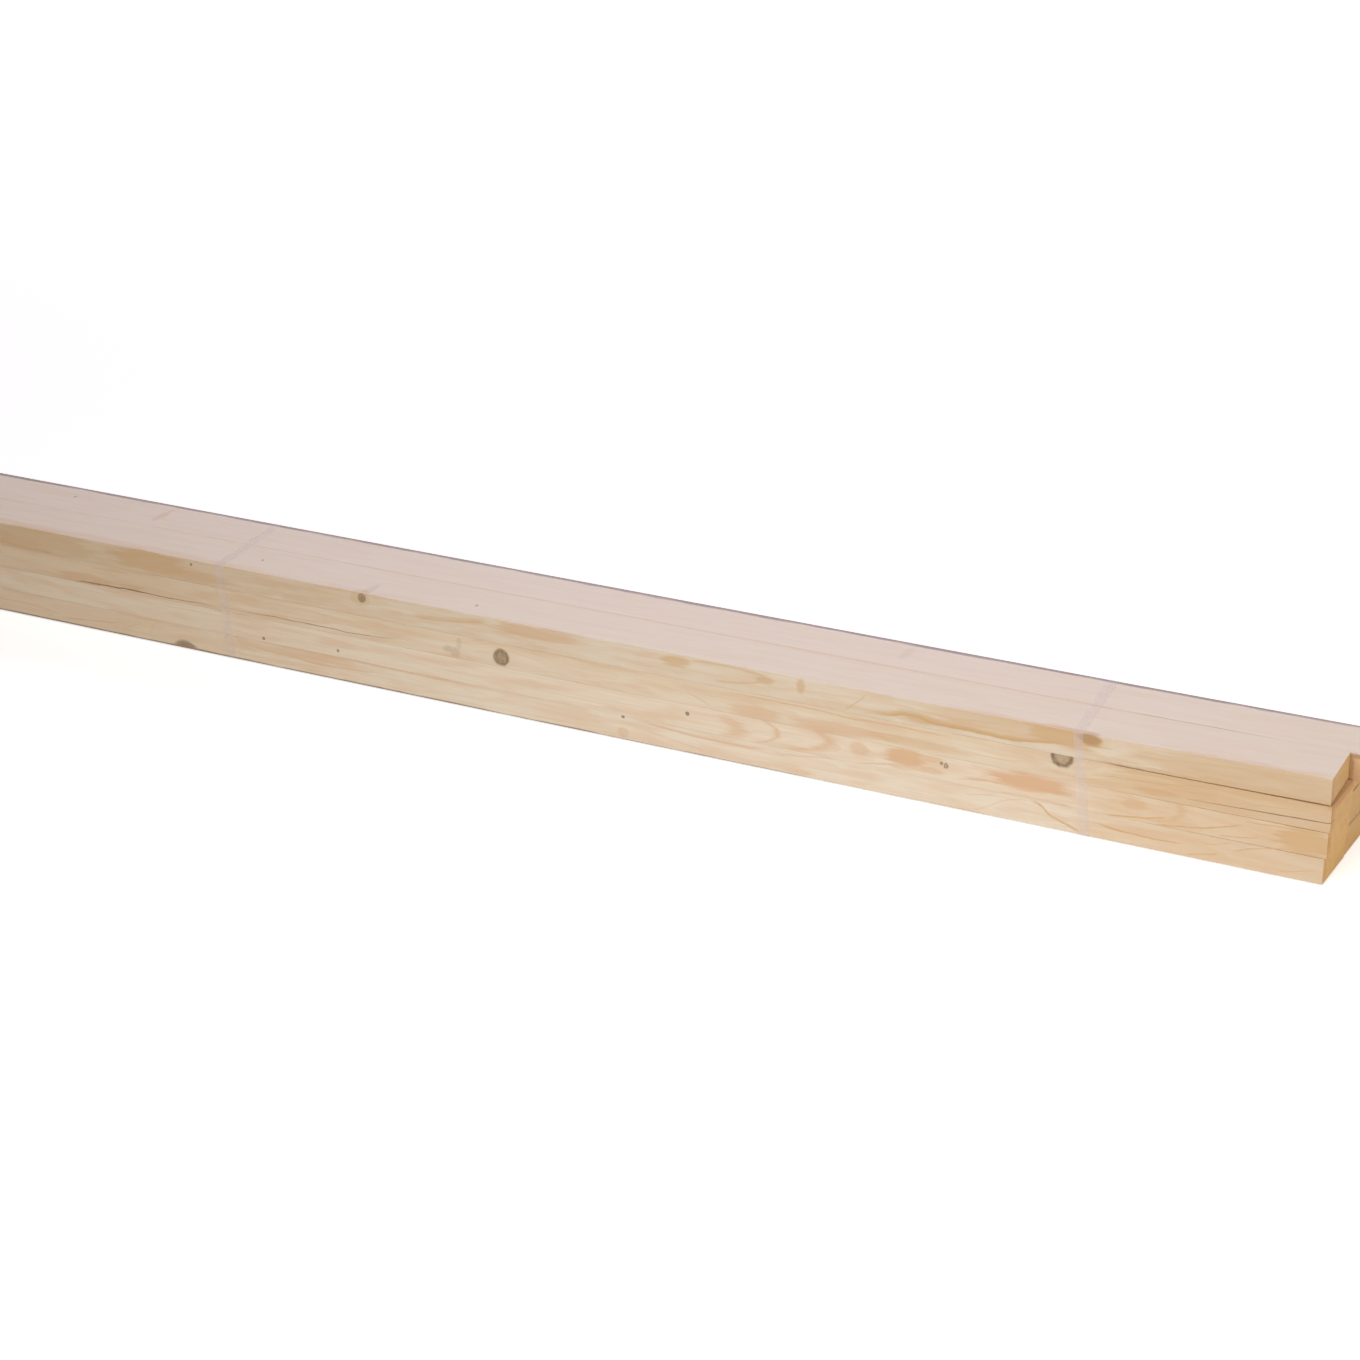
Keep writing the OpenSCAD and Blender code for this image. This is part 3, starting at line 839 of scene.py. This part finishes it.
def length_property(name, description, size):
    """Makes the property of a length, with its default in mm."""
    return bpy.props.FloatProperty(
        name=name, description=description, default=size * MM, unit="LENGTH", precision=5)


def colour_property(name, description, code):
    """Makes the property of an sRGB colour, with its default in hex."""
    return bpy.props.FloatVectorProperty(
        name=name, description=description, default=srgb(code), subtype="COLOR_GAMMA")


class BundlePlanks(bpy.types.PropertyGroup):
    """Sizes and colours of the planks."""

    arris: length_property("Arris", "Radius of the sawn arrises", 0.18)
    station: length_property("Station", "Length of one step along the plank", 12)
    swell: length_property("Swell", "How far each plank swells into the gaps above and below it", 0.05)
    close: length_property("Close", "How far each plank reaches into the gap between the columns", 0.2)
    spring_past: length_property(
        "Spring", "Where the free ends start to rise, past the edge of the right strap", 18.4)
    relief: length_property("Relief", "Height of the waves left by the saw", 0.05)
    earlywood: colour_property("Earlywood", "Pale spring wood, sRGB", "#f0dfc7")
    latewood: colour_property("Latewood", "Summer wood of each ring, sRGB", "#e2b88f")
    # The stain colour also paints shade on a ledge and on a protruding end at the right.
    stain: colour_property("Stain", "Resin and heartwood patches, sRGB", "#dbb079")
    # This colour paints shade: the thin dark line along the back top edge of the top back plank.
    painted_edge_shade: colour_property("Painted edge shade", "Painted shade along the back top edge, sRGB", "#998a87")
    knot: colour_property("Knot", "Branch wood of the knots, sRGB", "#a18563")
    # The knot rim colour also paints dark lines of shade in gaps, in a crack, at the right ends and along the
    # bottom edge.
    rim: colour_property("Knot rim", "Bark and resin round a knot, sRGB", "#80634a")
    end_grain: colour_property("End grain", "Tint of the sawn ends, sRGB", "#ffdf93")


class BundleStraps(bpy.types.PropertyGroup):
    """Sizes and finish of the straps."""

    width: length_property("Width", "Width of the band", 7.5)
    slant: bpy.props.FloatProperty(
        name="Slant", description="Lean of the straps out of square", default=math.radians(6.5),
        unit="ROTATION")
    thickness: length_property("Thickness", "Thickness of the band", 0.5)
    corner: length_property("Corner", "Radius at the corners of the stack", 0.75)
    weld: length_property("Weld", "Length of the welded overlap", 32)
    colour: colour_property("Colour", "Milky tint of the plastic, sRGB", "#f9f2f6")
    opacity: bpy.props.FloatProperty(
        name="Opacity", description="How much each face of the band covers", default=0.12, min=0, max=1,
        subtype="FACTOR")


class BundleStage(bpy.types.PropertyGroup):
    """Camera and light."""

    eye: bpy.props.FloatVectorProperty(
        name="Eye", description="Place of the camera", default=(1.4417, -2.0409, 0.9826),
        subtype="TRANSLATION")
    turn: bpy.props.FloatVectorProperty(
        name="Turn", description="Turn of the camera",
        default=(math.radians(67.594), 0.0, math.radians(27.492)), subtype="EULER")
    lens: bpy.props.FloatProperty(
        name="Lens", description="Focal length in mm on a 36 mm sensor", default=87.353)
    key: bpy.props.FloatProperty(
        name="Key light", description="Power of the soft light in front", default=8.8, unit="POWER")
    panel: bpy.props.FloatProperty(
        name="Panel", description="Power of the broad light behind", default=60.0, unit="POWER")
    fill: bpy.props.FloatProperty(
        name="Fill light", description="Power of the soft light at the right end", default=6.8, unit="POWER")
    room: bpy.props.FloatProperty(
        name="Room light", description="Strength of the even light all round", default=0.21)
    lift: bpy.props.FloatProperty(
        name="Floor lift", description="How far the camera sees the floor lifted to white", default=0.57)


class BUNDLE_OT_planks(bpy.types.Operator):
    """Saw the eight planks over their construction"""

    bl_idname = "bundle.planks"
    bl_label = "Saw the planks"

    def execute(self, context):
        look = context.scene.bundle_planks
        groups = {"knot": knot_group(), "rings": ring_group(), "stain": stain_group(),
                  "streak": streak_group()}
        tree = plank_tree()
        flat_low, flat_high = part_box("plank_front_1")
        thickness = flat_high.z - flat_low.z
        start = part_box("strap_right")[0].x + look.spring_past
        for index, (node, plank) in enumerate(PLANKS.items()):
            low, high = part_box(node)
            rise = high.z - low.z - thickness
            seed = FIRST_SEED + SEED_STEP * index
            material = sawn_spruce(node, plank, (0.0, low.y, low.z), seed, groups, look)
            inwards = look.close if low.y + high.y < 0 else -look.close
            piece = grow("sawn_" + node, tree, {
                "Length": high.x - low.x, "Width": high.y - low.y + look.close,
                "Thickness": thickness + 2 * look.swell, "Arris": look.arris,
                "Station": look.station, "Spring start": start - low.x, "Spring rise": rise,
                "Relief": look.relief, "Seed": seed, "Skew": plank.skew * MM, "Material": material,
                "Place": (low.x, (low.y + high.y + inwards) / 2, low.z + thickness / 2),
            })
            for check in plank.checks:
                cut_check(piece, check, low.y, low.z,
                          lambda x: rise * max(0.0, (x - start) / (high.x - start)) ** BEND)
            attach(piece, "root")
            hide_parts(node)
        return {"FINISHED"}


class BUNDLE_OT_straps(bpy.types.Operator):
    """Pull the three straps round the stack"""

    bl_idname = "bundle.straps"
    bl_label = "Pull the straps"

    def execute(self, context):
        look = context.scene.bundle_straps
        tree = strap_tree()
        material = clear_strap(look)
        for node in ("strap_left", "strap_middle", "strap_right"):
            low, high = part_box(node)
            size = high - low
            floor_x = (low.x + high.x) / 2 + math.tan(look.slant) * (size.z + look.thickness) / 2
            piece = grow("pulled_" + node, tree, {
                "Width": size.y - 2 * look.thickness, "Height": size.z - look.thickness,
                "Corner": look.corner, "Band width": look.width, "Band thickness": look.thickness,
                "Weld": look.weld, "Slant": look.slant, "Material": material,
                "Place": (floor_x, (low.y + high.y - look.thickness) / 2, (low.z + high.z) / 2),
            })
            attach(piece, "root")
            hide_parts(node)
        return {"FINISHED"}


class BUNDLE_OT_stage(bpy.types.Operator):
    """Set up the camera, the light and the pale floor"""

    bl_idname = "bundle.stage"
    bl_label = "Set the stage"

    def execute(self, context):
        scene = context.scene
        look = scene.bundle_stage
        camera = bpy.data.objects.new("camera", bpy.data.cameras.new("camera"))
        camera.location = look.eye
        camera.rotation_euler = look.turn
        camera.data.lens = look.lens
        camera.data.sensor_width = 36.0
        scene.collection.objects.link(camera)
        scene.camera = camera

        # A soft key in front, a broad panel behind that whitens the tops, and a fill for the right ends,
        # all turned to the half of the bundle that the camera sees
        target = Vector((0.5, 0.0, 0.0))
        for name, place, size, power, tint in (("key", (0.62, -1.05, 0.85), 0.9, look.key, "#fbfdff"),
                                               ("panel", (-0.8, 3.2, 1.7), 3.2, look.panel, "#f4e5ff"),
                                               ("fill", (2.2, -0.5, 0.6), 1.0, look.fill, "#fff6ea")):
            lamp = bpy.data.objects.new(name, bpy.data.lights.new(name, "AREA"))
            lamp.data.shape = "DISK"
            lamp.data.size = size
            lamp.data.energy = power
            lamp.data.color = linear(tint)[:3]
            lamp.location = place
            lamp.rotation_euler = (target - lamp.location).to_track_quat("-Z", "Y").to_euler()
            scene.collection.objects.link(lamp)

        # The room lights the planks evenly, and the camera and the sheen on the planks see it as plain white
        world = bpy.data.worlds.new("room")
        world.use_nodes = True
        tree = world.node_tree
        tree.nodes.clear()
        path = add(tree, "LightPath", out=None).outputs
        seen = add(tree, "Math MAXIMUM", {0: path["Is Camera Ray"], 1: path["Is Glossy Ray"]})
        lit = add(tree, "Background", {"Color": linear("#fffdfb"), "Strength": look.room})
        shown = add(tree, "Background", {"Color": linear("#ffffff"), "Strength": 1.0})
        mixed = add(tree, "MixShader", {0: seen, 1: lit, 2: shown})
        add(tree, "OutputWorld", {"Surface": mixed}, out=None)
        scene.world = world

        # The floor is a pale matt sheet, lifted to white for the camera but for the shadow on it
        mesh = bpy.data.meshes.new("floor")
        reach = 9.0
        mesh.from_pydata([(-reach, -reach, 0), (reach, -reach, 0), (reach, reach, 0), (-reach, reach, 0)], [],
                         [(0, 1, 2, 3)])
        floor = bpy.data.objects.new("floor", mesh)
        floor.location.z = -FLOOR_DROP
        scene.collection.objects.link(floor)
        material, tree = new_material("Pale matt sheet")
        seen = add(tree, "LightPath", out="Is Camera Ray")
        matt = add(tree, "BsdfDiffuse", {"Color": linear("#f2f1f0")})
        lift = add(tree, "Math MULTIPLY", {0: seen, 1: look.lift})
        glow = add(tree, "Emission", {"Color": linear("#ffffff"), "Strength": lift})
        both = add(tree, "AddShader", {0: matt, 1: glow})
        add(tree, "OutputMaterial", {"Surface": both}, out=None)
        mesh.materials.append(material)
        scene.view_settings.view_transform = "Standard"
        return {"FINISHED"}


class BUNDLE_PT_sidebar(bpy.types.Panel):
    """The bundle's settings and steps"""

    bl_idname = "BUNDLE_PT_sidebar"
    bl_label = "Plank bundle"
    bl_space_type = "VIEW_3D"
    bl_region_type = "UI"
    bl_category = "Planks"

    def draw(self, context):
        for group, operator in (("bundle_planks", BUNDLE_OT_planks), ("bundle_straps", BUNDLE_OT_straps),
                                ("bundle_stage", BUNDLE_OT_stage)):
            box = self.layout.box()
            settings = getattr(context.scene, group)
            for name in settings.__annotations__:
                box.prop(settings, name)
            box.operator(operator.bl_idname)


CLASSES = (BundlePlanks, BundleStraps, BundleStage, BUNDLE_OT_planks, BUNDLE_OT_straps, BUNDLE_OT_stage,
           BUNDLE_PT_sidebar)


def register():
    for cls in CLASSES:
        bpy.utils.register_class(cls)
    bpy.types.Scene.bundle_planks = bpy.props.PointerProperty(type=BundlePlanks)
    bpy.types.Scene.bundle_straps = bpy.props.PointerProperty(type=BundleStraps)
    bpy.types.Scene.bundle_stage = bpy.props.PointerProperty(type=BundleStage)


def unregister():
    del bpy.types.Scene.bundle_stage
    del bpy.types.Scene.bundle_straps
    del bpy.types.Scene.bundle_planks
    for cls in reversed(CLASSES):
        bpy.utils.unregister_class(cls)


def main():
    register()
    bpy.ops.bundle.planks()
    bpy.ops.bundle.straps()
    bpy.ops.bundle.stage()


if __name__ == "__main__":
    main()
